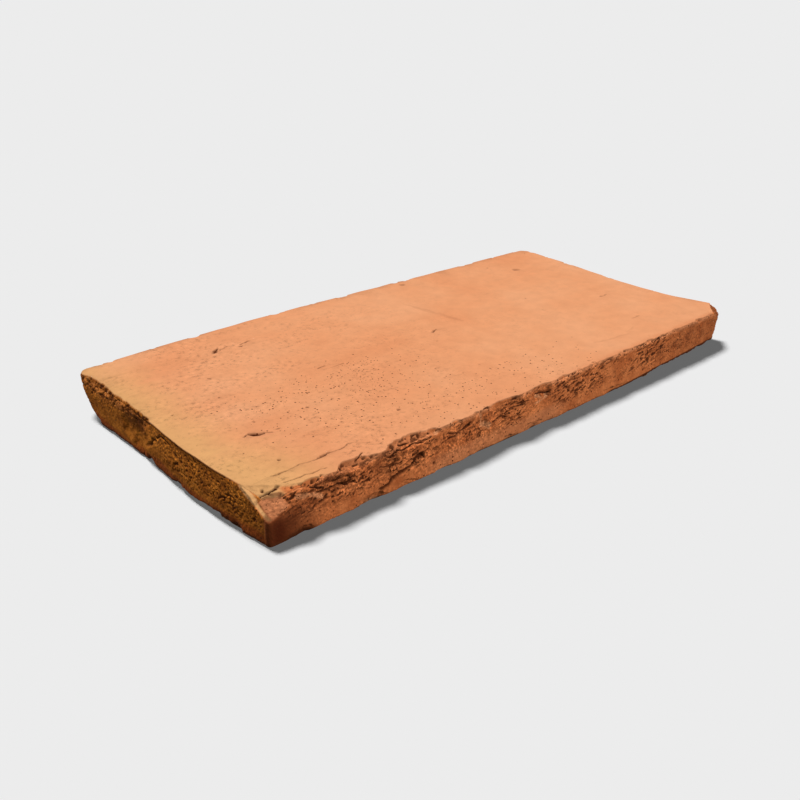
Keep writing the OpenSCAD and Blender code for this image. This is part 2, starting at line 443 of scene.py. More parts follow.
def creviceShare(points):
    # 1 in the breaks that lie well under the face, where little light comes in, with an uneven edge
    share = np.zeros(len(points))
    uneven = 1.6 * clayNoise(points, 2.4, 16, 2)
    for place, length, bite, drop, sink in losses["chips"]:
        if sink > losses["creviceSink"]:
            middle = (place - slab["length"] / 2, -slab["width"] / 2, slab["thickness"] - sink)
            shadedHollow = scoop(points, middle, (length / 2, bite, drop)) + uneven
            share = np.maximum(share, smoothStep(-1.6, 0.8, shadedHollow))
    return share


# Marks in the fired surface, as lines through a few points. A face line runs in x and y, one on the front
# in x and z and one on the left end in y and z; each is followed by its half width and its depth.
marks = {
    "face": (
        (((-148.5, -67), (-145, -66.8), (-142, -67.3), (-140, -68.3), (-138.5, -68)), 0.7, 1.2),
        (((-150, -62.5), (-143, -62), (-136, -61)), 0.35, 0.25),
        (((-136, -61), (-131, -61.5), (-125, -61), (-120, -61.7), (-113, -61.5)), 0.5, 0.8),
        (((-116, -61.5), (-110, -61), (-106, -61.5), (-101, -60), (-99, -60.5)), 0.6, 0.9),
        (((-99, -60.5), (-96, -62.5), (-94, -65)), 0.5, 0.4),
        (((-135, -68), (-127, -68.5), (-124, -69.5), (-118, -69.3)), 0.5, 0.6),
        (((-105, -70.8), (-101.5, -69)), 0.5, 0.7),
        (((-126.5, -30.5), (-123.5, -29.5)), 0.5, 0.8),
        (((-123.5, -29.8), (-122.5, -31.3), (-119.5, -32.5)), 1.1, 1.8),
        (((-120, -32.5), (-116, -33.8)), 0.6, 0.9),
        (((-90, 49), (-88, 51), (-86.5, 52.5)), 1.2, 0.9),
        (((-86.5, 50), (-82, 51), (-78, 51)), 0.6, 0.5),
        (((-75, 50), (-70, 51.5)), 0.8, 0.9),
        (((-84, 40.2), (-81.5, 41.5)), 0.5, 0.4),
        (((-65, 3.5), (-61, 4.5)), 0.7, 0.7),
        (((5, 3.5), (9, 5)), 0.6, 0.6),
        (((22.5, 43), (25, 25), (27.5, 5)), 2.4, 0.22),
        (((53, -58), (62, -59.5), (75, -61), (85, -57)), 1.2, 0.2),
        (((111, -18.7), (116, -17.8)), 0.9, 0.5),
        (((95, -49.5), (101, -49.5)), 0.8, 0.35),
        (((-84.5, -72.8), (-82, -73.5), (-80.5, -74.5)), 0.8, 1.2),
        (((-70.5, -73.8), (-69.5, -74.5)), 0.8, 1.2),
        (((-41, -74), (-39, -73.3), (-37.5, -73.8)), 0.7, 1.1),
    ),
    "front": (
        (((-97, 3.5), (-92, 5), (-90, 7), (-88, 7), (-84, 8), (-81, 8.5), (-78, 11.5), (-75, 12.5)),
         1.2, 2.4),
        (((-80, 9), (-77, 9.5)), 0.45, 1.2),
        (((-76, 11.5), (-74, 11), (-73.5, 10)), 0.45, 1.2),
        (((-84, 3), (-81, 2.5), (-77, 1)), 0.6, 1.0),
        (((-136, 16.5), (-133, 17), (-130, 17)), 0.45, 1.2),
        (((-127, 18.5), (-124, 17), (-122, 16)), 0.75, 1.7),
        (((-125, 14.5), (-115, 14), (-113, 12.5), (-108, 13)), 0.5, 1.7),
        (((-118, 17), (-111, 16.5), (-107, 14.5), (-104, 15)), 0.45, 1.0),
        (((-93, 18), (-90, 17), (-87, 18.5), (-85, 17.5), (-81, 18.5), (-79, 19), (-75, 17.5)), 0.5, 1.4),
        (((-96, 13), (-92, 12.5), (-89, 13)), 0.45, 1.0),
        (((-74, 16.5), (-72, 15.5)), 0.45, 1.0),
        (((-64, 13.5), (-58, 14), (-53, 16), (-48, 17.5)), 0.5, 1.4),
        (((-63, 15), (-63, 17)), 0.5, 1.4),
        (((-60, 16), (-56, 15), (-49, 16.5)), 0.45, 1.1),
        (((-44, 10), (-41.5, 10.5)), 0.5, 1.0),
        (((-45, 4.5), (-44, 6), (-42, 6)), 0.4, 0.8),
        (((-35, 12.5), (-28, 13), (-24, 14), (-20, 15.5), (-13, 16)), 0.45, 1.2),
        (((-34, 15.5), (-31, 16.5), (-26, 17.5)), 0.45, 1.0),
        (((-33, 10), (-25, 11), (-20, 11), (-14, 11.5)), 0.4, 0.8),
        (((-7, 17.5), (-3, 17), (1, 16)), 0.75, 1.2),
        (((12, 16.5), (19, 17), (26, 17.5)), 0.45, 0.8),
        (((16, 12), (19, 14)), 0.4, 0.7),
        (((-14, 3.5), (-8, 2.5), (-3, 2)), 0.5, 0.8),
    ),
    "leftEnd": (
        (((-0.5, 15.5), (-3, 17.5), (-8, 18.2), (-12, 17), (-14, 15), (-17, 13.5)), 0.6, 1.4),
        (((11, 6), (6, 8.5), (3, 11.5)), 0.7, 1.0),
        (((3, 12.5), (0, 14)), 0.9, 1.0),
        (((-16, 10), (-19, 11.5)), 0.8, 1.2),
    ),
    "pits": (  # x, y, radius, depth
        (-76, 48, 0.9, 0.8), (-71.5, 61, 1.3, 0.3), (-107, 25, 1.0, 1.0), (-111, 31.5, 0.8, 0.8),
        (-137, 4, 0.7, 0.6), (-139, 3, 0.5, 0.4), (-132.5, 26.5, 0.5, 0.3), (-128.5, 24.5, 0.5, 0.3),
        (-116, -22, 0.8, 0.9), (-127.5, -22, 0.7, 0.5), (-127, -53.5, 0.8, 0.9), (-112.5, -32.5, 0.8, 0.7),
        (-114.5, -44.5, 0.8, 0.6), (-109, -44, 0.8, 0.5), (-90.5, -44, 0.8, 0.8), (-88.5, -41.5, 0.6, 0.5),
        (-67, -51, 1.2, 0.9), (-92.5, -25.5, 1.0, 0.8), (-97, -25, 0.7, 0.5), (-101.5, -25, 0.7, 0.5),
        (-103, -27.5, 0.6, 0.5), (-80, -25, 0.8, 0.6), (-80, -16.5, 0.8, 0.6), (-84, -17, 0.6, 0.5),
        (-143.5, -25, 0.7, 0.5), (-109, -15.5, 0.7, 0.5), (-99, -34.5, 0.7, 0.4), (-85, -34, 0.7, 0.5),
        (-108.5, -37.5, 0.6, 0.5), (-77.5, -50.5, 0.7, 0.5), (-72, -59, 0.6, 0.5), (-56, -17, 0.8, 0.6),
        (-26, -30.5, 0.8, 0.6), (-30, -40, 0.8, 0.6), (-20.5, -41.5, 0.7, 0.5), (-8, -40, 0.7, 0.6),
        (-1.5, -6.5, 1.0, 0.5), (-4.5, -57.5, 0.8, 0.6), (10.5, -55, 0.8, 0.6), (33, -70, 0.9, 0.5),
        (113.5, 44.5, 3.2, 0.5), (43, 67, 2.5, 0.5), (146, -66, 2.2, 0.8),
    ),
    "waver": 1.2,
    "waverSize": 3.0,
    "gapSize": 6.0,
}


def markDepth(points, shares):
    # depth of the lines and pits: full in the middle and running out with the square of the distance,
    # with the lines pushed about by noise and now wider, now narrower
    shake = np.column_stack([clayNoise(points, marks["waverSize"], 21 + i, 3) for i in range(3)])
    spots = points + marks["waver"] * shake
    strength = smoothStep(-0.9, 0.3, clayNoise(points, marks["gapSize"], 24, 2))
    depth = np.zeros(len(points))
    for name, axes in (("face", (0, 1)), ("front", (0, 2)), ("leftEnd", (1, 2))):
        live = np.flatnonzero(shares[name] > 0)
        for line, width, deep in marks[name]:
            gap = lineDistance(spots[live][:, axes], line) / (width * (0.6 + 0.5 * strength[live]))
            cut = shares[name][live] * deep * (0.6 + 0.4 * strength[live]) * np.clip(1 - gap**2, 0, 1)
            depth[live] = np.maximum(depth[live], cut)
    for x, y, radius, deep in marks["pits"]:
        gap = np.linalg.norm(spots[:, :2] - (x, y), axis=1) / radius
        depth = np.maximum(depth, shares["face"] * deep * np.clip(1 - gap**2, 0, 1))
    return depth


def partShares(points, gridSize):
    # how much each point belongs to the face, to the four walls and to the bed, by its nearest side
    thick = slab["thickness"]
    wall = np.zeros(len(points))
    wall[2 * gridSize :] = smoothStep(thick, thick - slab["faceArris"] / 3, points[2 * gridSize :, 2])
    shares = {"face": 1 - wall, "wall": wall, "bed": np.zeros(len(points))}
    shares["bed"][gridSize : 2 * gridSize] = 1
    shares["face"][gridSize : 2 * gridSize] = 0
    x, y = points[:, 0], points[:, 1]
    halfLength, halfWidth = slab["length"] / 2, slab["width"] / 2
    gaps = np.stack([y + halfWidth, halfLength - x, halfWidth - y, x + halfLength])
    for side, name in enumerate(("front", "rightEnd", "back", "leftEnd")):
        others = np.delete(gaps, side, axis=0).min(axis=0)
        shares[name] = wall * smoothStep(-1, 1, others - gaps[side])
    return shares


# Colour that the kiln and the weather gave in places, with painted shade at the front's left corner
# and painted highlights on some lit facets. A pair of numbers is where a colour sets in and where
# it is full, along x or y or in height.
kiln = {
    "paleAndHighlit": (  # pale streaks on the front, partly painted highlights on lit facets: a line in x and z, and its half width
        (((-134, 16.5), (-130, 15.2), (-126, 14), (-123.5, 12)), 0.9),
        (((-68, 19), (-67, 18.6)), 0.9),
        (((-42, 18), (-41.5, 14)), 0.7),
        (((-41, 13), (-38, 12)), 1.4),
        (((-9, 13), (-5, 13), (-2, 14), (1, 14.5)), 0.5),
        (((-8, 15.5), (-5, 15)), 0.9),
    ),
    "nose": ((136, 140), (12.5, 14), (17.4, 16.6)),   # pale stretch of the knocked corner, partly a painted highlight: x, foot, top
    "lowPale": ((-80, -60), (20, 0), (10, 6)),        # the front's middle: x from both sides, and height
    "smoke": ((86, 12, 4.0), (99, 12, 3.5), (110, 13, 4.0), (123, 12, 5.0)),   # on the front: x, z, width
    "smokeShare": 0.5,
    "dusky": (((85, 110), 0.25), ((128, 138), 0.15)),   # the front's right end, each with its share
    "cornerShade": ((-129, -143), (13, 8)),      # painted shade at the front's left end, along it and in height
    # painted shade reaching further up and along from the corner, at this share
    "outerCornerShade": ((-120, -134), (17, 11)),
    "outerShadeShare": 0.65,
    "wrapped": ((-64, -75), (14, 9)),      # where that painted shade runs round onto the left end
    "wrapShare": 0.8,
    "flush": (  # on the face: x, y, and the reach each way
        (-122, 2, 18, 10),
        (-103, -47, 9, 12),
        (-118, 50, 20, 14),
        (-110, -26, 22, 9),
        (-62, 3, 24, 9),
        (-20, 4, 18, 8),
    ),
    "flushShare": 0.5,
    "rim": ((5, 0.5), (-40, 60)),          # a flush along the front arris: distance from it, then x
    "bloomAndHighlight": (-120, -146),                 # the left of the face
    "bloomCorner": ((-105, -140), (-30, -62)),
    "rust": (5.5, 2.5),                    # the foot of the left end
}

# The fired surface between the marks: pattern size and depth in mm, then the areas, in pairs as above
relief = {
    "skin": (20.0, 0.14),
    "drag": ((40.0, 2.2, 40.0), 0.05),
    "spall": (2.2, 0.45),
    "lumps": (9.0, 0.25),
    "grain": (1.0, 0.22),
    "dashes": ((3.4, 3.4, 0.75), 0.8),
    "sponge": (0.65, 0.45),
    "crumbs": (1.1, 0.8),
    "backWear": (7.0, 1.0),
    "lobes": ((8.0, 8.0, 20.0), 1.3),
    "endWear": 1.5,       # how far the left end's arris is worn back
    "facePore": 3.0,      # one pore to a cell of this size, at most
    "wallPore": 2.2,
    "poreAreas": (  # of the face: share, then x and its reach, then y and its reach
        (1.0, -75, (62, 15), -22, (34, 10)),
        (0.6, -20, (80, 30), -60, (20, 8)),
    ),
    "dragAlong": (20, -90),
    "tornHeight": (3, 11),
    "tornEnd": (84, 100),                        # few tears right of this
    "lipArea": ((-57, -66), (9, 13)),            # no pores here: along y, and in height
    "spongeArea": ((0, -16), (4, 9)),
    "crumbArea": ((4, 14), (13, 17)),
    "wornArea": ((-58, -40), (25, 8), (8, 20)),  # along y from both sides, and in height
    "lobeHeight": (5, 1),
    "backHeight": (15, 19),
    "darkness": (1.7, 0.75, 0.65, 0.7, 0.3, 0.8),   # painted shade of pores, dashes, sponge, crumbs, lobes and undersides
}


def porousPatch(spots):
    # the parts of the face where its pores gather: a patch left of the middle and a strip along the front
    share = np.zeros(len(spots))
    for most, px, inX, py, inY in relief["poreAreas"]:
        patch = most * smoothStep(*inX, abs(spots[:, 0] - px)) * smoothStep(*inY, abs(spots[:, 1] - py))
        share = np.maximum(share, patch)
    return share


def faceRelief(spots, share):
    # the struck face: low unevenness, faint drag lines along the tile and a few open pores
    skin = relief["skin"][1] * (1 + clayNoise(spots, relief["skin"][0], 31, 2))
    drag = relief["drag"][1] * (1 + clayNoise(spots, relief["drag"][0], 38, 2))
    drag *= smoothStep(*relief["dragAlong"], spots[:, 0])
    gathered = porousPatch(spots) * smoothStep(-0.3, 0.4, clayNoise(spots, 14, 72, 2))
    holes = pores(spots, relief["facePore"], 71, 0.03 + 0.25 * gathered, 0.25, 0.75)
    # the pores are darkened as painted shade
    return share * (skin + drag + holes), np.clip(share * 2.5 * holes, 0, 1)


def tornShare(spots, shares):
    # the parts of the walls, mostly high up on the front, where the moist clay tore as it left the mould
    patches = smoothStep(-0.45, 0.1, clayNoise(spots, 12, 49, 2))
    patches *= smoothStep(*relief["tornHeight"], spots[:, 2])
    fewer = 1 - 0.75 * shares["front"] * smoothStep(*relief["tornEnd"], spots[:, 0])
    return patches * fewer * (1 - shares["leftEnd"]) * (0.55 + 0.45 * shares["front"])


def wallRelief(spots, shares):
    # the walls: lumps and grain all over; slanting dashes where the moist clay tore along the front;
    # on the left end an arris that crumbles towards the back and open sponge towards the front
    x, y, z = spots.T
    wall, front, end = shares["wall"], shares["front"], shares["leftEnd"]
    lumps = relief["lumps"][1] * (1 + clayNoise(spots, relief["lumps"][0], 41))
    grain = relief["grain"][1] * (1 + clayNoise(spots, relief["grain"][0], 45, 2))
    run = x - y
    slant = np.column_stack([x + y, run, z - 0.22 * run])
    dashes = tornShare(spots, shares) * smoothStep(0.1, 0.4, clayNoise(slant, relief["dashes"][0], 48, 2))
    inY, inZ = relief["lipArea"]
    highlitLip = smoothStep(*inY, y) * smoothStep(*inZ, z)
    inY, inZ = relief["spongeArea"]
    porous = end * (smoothStep(*inY, y) * smoothStep(*inZ, z) * (1 - highlitLip) + 0.25)
    sponge = porous * smoothStep(0.12, 0.35, clayNoise(spots * (1, 0.8, 1), relief["sponge"][0], 52, 2))
    inY, inZ = relief["crumbArea"]
    loose = end * smoothStep(*inY, y) * smoothStep(*inZ, z)
    crumbs = loose * smoothStep(-0.1, 0.3, clayNoise(spots, relief["crumbs"][0], 51, 2))
    often = 0.12 + 0.2 * smoothStep(*relief["tornHeight"], z) * (1 - end)
    holes = pores(spots, relief["wallPore"], 61, often, 0.3, 0.9) * (1 - end * highlitLip)
    lower = smoothStep(*relief["lobeHeight"], z) * (0.3 + 0.9 * end)
    lobes = lower * smoothStep(0, 0.6, clayNoise(spots, relief["lobes"][0], 58, 2))
    frontY, backY, inZ = relief["wornArea"]
    worn = end * smoothStep(*inZ, z) * smoothStep(*frontY, y) * smoothStep(*backY, y)
    bumpy = shares["back"] * smoothStep(*relief["backHeight"], z)
    bumpy *= 1 + clayNoise(spots, relief["backWear"][0], 56, 2)
    depth = lumps + grain + holes + relief["dashes"][1] * dashes + relief["sponge"][1] * sponge
    depth += relief["crumbs"][1] * crumbs + relief["lobes"][1] * lobes + relief["endWear"] * worn
    depth += relief["backWear"][1] * bumpy
    # painted shade: the undersides of the arrises are dark too
    under = smoothStep(-1.3, -0.6, lowerBreak(spots)) * smoothStep(40, 52, x)
    under = np.maximum(under, smoothStep(2.6, 1.2, z) * smoothStep(-122, -130, x))
    under = np.maximum(front * under, end * smoothStep(2.4, 1.0, z))
    layers = (holes, dashes, sponge, crumbs, lobes, under)
    dark = sum(share * layer for share, layer in zip(relief["darkness"], layers))
    # the standing tops of the loose crumbs go back for painted highlights
    return wall * depth, wall * np.clip(dark, 0, 1), loose * (1 - crumbs)


def endDent(spots):
    # how far a point of the left end lies in the shade of its dent, under the arris
    length, _, fromBack = losses["dent"]
    middle = (slab["width"] / 2 - fromBack, 0.75 * slab["thickness"])
    return smoothStep(1.1, 0.4, np.linalg.norm((spots[:, 1:] - middle) / (0.45 * length, 7), axis=1))


def brokenAreas(spots, broken, jitter, shares):
    # the breaks, from 0 to 1: the spall's fresh clay and the lip beside it with its painted highlight, the
    # pink flakes, what has weathered to the walls' colour, the crumbled left arris, the crevices that get
    # painted shade and the worn tip
    x, y, z = spots.T
    exposed = smoothStep(0.1, 0.7, broken)
    slope = spallSlope(spots)
    highlitLip = np.maximum(exposed * smoothStep(-2.6, -1.7, slope), smoothStep(-1.3, -0.6, slope))
    fromEnd = insideSide(spots, 3)[0] + 0.6 * jitter
    highlitLip *= smoothStep(*losses["lipAlong"], y) * smoothStep(*losses["highlitLip"], fromEnd)
    inX, inZ = losses["spallArea"]
    spalled = smoothStep(-0.3, 0.3, beyondLine(spots, losses["spallEdge"]) + jitter)
    spalled *= smoothStep(*inX, x) * exposed * smoothStep(*inZ, z + jitter) * (1 - highlitLip)
    leftX, rightX, inZ = losses["flakes"]
    flaked = exposed * smoothStep(*leftX, x) * smoothStep(*rightX, x) * smoothStep(*inZ, z + 2 * jitter)
    inX, inY = losses["crumbledArea"]
    crumbled = exposed * smoothStep(*inX, x) * smoothStep(*inY, y)
    inX, inZ = losses["tipArea"]
    tip = smoothStep(0.9, 0.3, abs(tipBevel(spots))) * smoothStep(*inX, x) * smoothStep(*inZ, z) * exposed
    return {
        "exposed": exposed,
        "highlitLip": highlitLip,
        "spalled": spalled,
        "flaked": flaked,
        "weathered": smoothStep(0.3, 1.0, broken) * smoothStep(*losses["weathered"], x + jitter),
        "crumbled": crumbled,
        "crevice": creviceShare(spots) * shares["front"],
        "tip": tip,
    }


def kilnAreas(spots, exposed, jitter, shares):
    # what the fire and the weather did, from 0 to 1, with painted shade and highlights among it: the front's
    # left corner darkened as painted shade, the scorched right end with its smoky spots, pale streaks that
    # are partly painted highlights on lit facets, and the flushes of the face
    x, y, z = spots.T
    front = shares["front"]
    inX, inZ = kiln["cornerShade"]
    cornerShade = smoothStep(*inX, x + 4 * jitter) * smoothStep(*inZ, z + jitter)
    inX, inZ = kiln["outerCornerShade"]
    outerCornerShade = smoothStep(*inX, x + 3 * jitter) * smoothStep(*inZ, z + jitter)
    dusky = sum(share * smoothStep(*inX, x) for inX, share in kiln["dusky"])
    for px, pz, wide in kiln["smoke"]:
        gap = np.hypot(x - px, z - pz) / wide + 0.4 * jitter
        dusky = np.maximum(dusky, kiln["smokeShare"] * smoothStep(1.3, 0.2, gap))
    scorchedAndShaded = front * np.maximum(1 - (1 - cornerShade) * (1 - kiln["outerShadeShare"] * outerCornerShade), dusky)
    inY, inZ = kiln["wrapped"]
    wrapped = smoothStep(*inY, y + 2 * jitter) * smoothStep(*inZ, z + jitter)
    scorchedAndShaded = np.maximum(scorchedAndShaded, kiln["wrapShare"] * shares["leftEnd"] * wrapped)
    scorchedAndShaded *= 1 - 0.15 * smoothStep(-143, -148, x)   # painted light: a little lighter at the very corner, where the rounding between front and end falls in shade

    fine = 0.8 * clayNoise(spots, 1.8, 13, 2)
    inX, foot, top = kiln["nose"]
    nose = smoothStep(0.9, 0.3, abs(knockPlane(spots))) * smoothStep(*foot, z) * smoothStep(*top, z)
    paleAndHighlit = 0.9 * exposed * nose * smoothStep(*inX, x)
    for line, width in kiln["paleAndHighlit"]:
        gap = lineDistance(spots[:, [0, 2]], line) / width + fine
        paleAndHighlit = np.maximum(paleAndHighlit, front * smoothStep(1.3, 0.4, gap))
    leftX, rightX, inZ = kiln["lowPale"]
    lowPale = front * smoothStep(*leftX, x) * smoothStep(*rightX, x) * smoothStep(*inZ, z)

    near, inX = kiln["rim"]
    flush = 0.8 * shares["face"] * smoothStep(*near, insideSide(spots, 0)[0] + jitter) * smoothStep(*inX, x)
    for px, py, wide, deep in kiln["flush"]:
        gap = np.hypot((x - px) / wide, (y - py) / deep) + 0.4 * jitter
        flush = np.maximum(flush, shares["face"] * kiln["flushShare"] * smoothStep(1.3, 0.0, gap))
    return {"cornerShade": cornerShade, "scorchedAndShaded": scorchedAndShaded, "paleAndHighlit": paleAndHighlit, "lowPale": lowPale, "flush": flush}


def tileRelief(points, spots, shares, area):
    # how far each point moves in below its break, its painted shade down there, and the crumb tops' painted
    # highlights
    depth, dark, crumbHighlights = np.zeros((3, len(points)))
    exposed, spalled, crumbled = (area[k] for k in ("exposed", "spalled", "crumbled"))
    at = np.flatnonzero(shares["face"] > 0)
    depth[at], dark[at] = faceRelief(spots[at], shares["face"][at] * (1 - spalled[at]))
    depth[at] += relief["spall"][1] * spalled[at] * (1 + clayNoise(spots[at], relief["spall"][0], 14, 3))

    at = np.flatnonzero(shares["wall"] > 0)
    wallDepth, wallDark, loose = wallRelief(spots[at], {part: share[at] for part, share in shares.items()})
    depth[at] += wallDepth * (1 - 0.7 * np.maximum(spalled, area["scorchedAndShaded"])[at])
    dark[at] = np.maximum(dark[at], wallDark * (1 - spalled[at]))
    crumbHighlights[at] = 0.4 * loose

    # breaks of the face's rim: fine crumbs on the left end and coarser ones along the front
    at = np.flatnonzero(exposed * (1 - shares["wall"]) > 0)
    finer, coarser = clayNoise(spots[at], 1.0, 55, 2), clayNoise(spots[at], 1.7, 57, 2)
    crumbly = np.where(crumbled[at] > 0.5, finer, coarser)
    sunk = smoothStep(0.25, 0.5, crumbly + 0.3 * crumbled[at] + 0.2 * area["flaked"][at]) * (1 - spalled[at])
    depth[at] += exposed[at] * (0.2 * (1 + crumbly) + 0.7 * sunk)
    # painted shade in the sunk crumbs and along the crumbled arris, and painted highlights on the crumbs that
    # stand
    dark[at] = np.maximum(dark[at], exposed[at] * (0.7 * sunk + 0.3 * crumbled[at]))
    crumbHighlights[at] = crumbled[at] * smoothStep(-0.25, -0.5, crumbly)
    dark[at] *= 1 - crumbHighlights[at]

    at = np.flatnonzero(shares["bed"] > 0)
    depth[at] += relief["skin"][1] * (1 + clayNoise(spots[at], relief["skin"][0], 39, 2))

    drawn = markDepth(points, shares)
    # painted shade in the marks, the left end's dent and the crevices; the tip bevel is darker too
    inMarks = (0.8 + 0.25 * shares["face"]) * drawn
    dentShade = 0.55 * shares["leftEnd"] * endDent(spots)
    dark = np.maximum.reduce([dark, inMarks, dentShade, 0.5 * area["crevice"], 0.55 * area["tip"]])
    # no painted shade where the pale streaks and the lip have painted highlights
    return depth + drawn, dark * (1 - 0.8 * np.maximum(area["paleAndHighlit"], area["highlitLip"])), crumbHighlights


def clayMasks(points, spots, shares, area, dark, crumbHighlights):
    # the share of each colour and pattern that the clay's material reads, by the areas above and by noise
    x, y, z = points.T
    height = spots[:, 2]
    face, wall, front, end = (shares[k] for k in ("face", "wall", "front", "leftEnd"))
    spalled, highlitLip, paleAndHighlit, cornerShade = (area[k] for k in ("spalled", "highlitLip", "paleAndHighlit", "cornerShade"))
    drift = clayNoise(points, 28, 81, 3)
    inX, inY = kiln["bloomCorner"]
    bloomAndHighlight = smoothStep(*inX, x) * smoothStep(*inY, y + 16 * drift)
    bloomAndHighlight = np.maximum(bloomAndHighlight, smoothStep(*kiln["bloomAndHighlight"], x + 12 * drift)) * face
    covered = (1 - 0.7 * crumbHighlights) * (1 - highlitLip)
    walled = np.maximum.reduce([wall, area["weathered"], area["crumbled"]]) * covered
    walled *= (1 - 0.7 * paleAndHighlit) * (1 - 0.3 * area["lowPale"])
    walled *= 1 - 0.6 * front * smoothStep(17.5, 20, height)
    # where the walls' grains get painted highlights and shade
    gritShading = wall * (0.35 + 0.65 * smoothStep(-0.3, 0.2, clayNoise(points, 11, 83, 2)))
    gritShading *= (0.65 + 0.35 * smoothStep(20, -60, x)) * (0.5 + 0.5 * smoothStep(5, 11, z))
    gritShading *= 1 - 0.8 * np.maximum.reduce([0.5 * spalled, cornerShade, highlitLip])
    flecked = face * (0.2 + 0.8 * smoothStep(60, -110, x))
    flecked *= 0.25 + 0.75 * smoothStep(-0.2, 0.4, clayNoise(points, 13, 84, 2))
    porous = np.maximum(porousPatch(points) * face, 0.7 * wall)
    return {
        # painted shade in the hollows, marks, dent, crevices and undersides
        "shadedHollow": dark,
        "broken": np.maximum(spalled, 0.6 * area["flaked"]),
        "wall": walled,
        # the bloom colour also paints highlights on the lip, the standing crumbs and the pale streaks
        "bloomAndHighlight": np.maximum.reduce([bloomAndHighlight, crumbHighlights, highlitLip, 0.15 * paleAndHighlit]),
        "flush": area["flush"],
        # the left end's olive tint, darker than the walls partly as painted shade of that end
        "oliveAndShade": np.maximum(end, area["crumbled"]) * covered,
        "rust": end * smoothStep(*kiln["rust"], height + 3 * drift),
        "scorchAndShade": area["scorchedAndShaded"],
        "porous": porous * (1 - np.maximum(spalled, highlitLip)),
        "gritShading": gritShading,
        "torn": wall * tornShare(points, shares) * (1 - np.maximum(cornerShade, paleAndHighlit)),
        "flecked": flecked,
    }


def gridObject(name, spots, quads, masks):
    # an object from points in mm and four-sided faces, with each mask as an attribute of its points
    mesh = bpy.data.meshes.new(name)
    mesh.vertices.add(len(spots))
    mesh.vertices.foreach_set("co", (spots * mm).astype(np.float32).ravel())
    mesh.loops.add(quads.size)
    mesh.loops.foreach_set("vertex_index", quads.astype(np.int32).ravel())
    mesh.polygons.add(len(quads))
    mesh.polygons.foreach_set("loop_start", np.arange(0, quads.size, 4, dtype=np.int32))
    mesh.update(calc_edges=True)
    for mask, values in masks.items():
        layer = mesh.attributes.new(mask, "FLOAT", "POINT")
        layer.data.foreach_set("value", np.clip(values, 0, 1).astype(np.float32))
    made = bpy.data.objects.new(name, mesh)
    bpy.context.scene.collection.objects.link(made)
    return made


def thinOut(piece, kept, triangles):
    # edges are collapsed, away from the points that are kept, until about so many triangles are left
    group = piece.vertex_groups.new(name="thinned")
    group.add(np.flatnonzero(~kept).tolist(), 1.0, "REPLACE")
    thin = piece.modifiers.new("thin", "DECIMATE")
    thin.vertex_group = group.name
    thin.ratio = triangles / (2 * len(piece.data.polygons))
    thin.use_collapse_triangulate = True
    whole = piece.data
    done = bpy.data.meshes.new_from_object(piece.evaluated_get(bpy.context.evaluated_depsgraph_get()))
    piece.modifiers.clear()
    piece.vertex_groups.clear()
    piece.data = done
    bpy.data.meshes.remove(whole)
    done.name = piece.name
    done.polygons.foreach_set("use_smooth", np.ones(len(done.polygons), bool))


def firedTile():
    # the slab's grid, moved in by its losses and then by its relief, with the masks for its colour
    points, quads = slabMesh()
    way = wayIn(points)
    shares = partShares(points, (slab["columns"] + 1) * (slab["rows"] + 1))
    print("slab grid:", len(points), "points,", len(quads), "faces")

    broken = breakDepth(points, way)
    spots = points + broken[:, None] * way
    print("losses cut, deepest", round(broken.max(), 1), "mm")

    jitter = 0.8 * clayNoise(spots, 4, 12, 2)   # makes the edges of all areas uneven
    area = brokenAreas(spots, broken, jitter, shares)
    area.update(kilnAreas(spots, area["exposed"], jitter, shares))
    depth, dark, crumbHighlights = tileRelief(points, spots, shares, area)
    masks = clayMasks(points, spots, shares, area, dark, crumbHighlights)
    made = gridObject("fired_tile", spots + depth[:, None] * way, quads, masks)
    print("relief drawn, deepest", round(depth.max(), 1), "mm")

    # the grid is thinned where it lies flat or far back, and kept whole at the broken edges
    x, y, z = points.T
    right, behind, left = slab["fullDetail"]
    kept = (z > 0.5) & (((x < right) & (y < behind)) | (x < left))
    kept &= (shares["wall"] > 0) | (y < behind) | (broken > 0.05)
    thinOut(made, kept, slab["triangles"])
    print("tile mesh:", len(made.data.vertices), "points,", len(made.data.polygons), "triangles")
    return made


def linear(hexColour):
    # an sRGB hex colour as Blender's linear colour
    parts = [int(hexColour[i : i + 2], 16) / 255 for i in (1, 3, 5)]
    return tuple(p / 12.92 if p <= 0.04045 else ((p + 0.055) / 1.055) ** 2.4 for p in parts) + (1.0,)


def perSize(size):
    # a texture's scale for a pattern of this size in millimetres
    return 1 / (size * mm)


def addNode(tree, kind, settings=None, links=None):
    # one node with its settings, on its sockets or itself, and the sockets that feed it
    node = tree.nodes.new(kind)
    for name, value in (settings or {}).items():
        if isinstance(name, int) or name in node.inputs:
            node.inputs[name].default_value = value
        else:
            setattr(node, name, value)
    for name, socket in (links or {}).items():
        tree.links.new(socket, node.inputs[name])
    return node


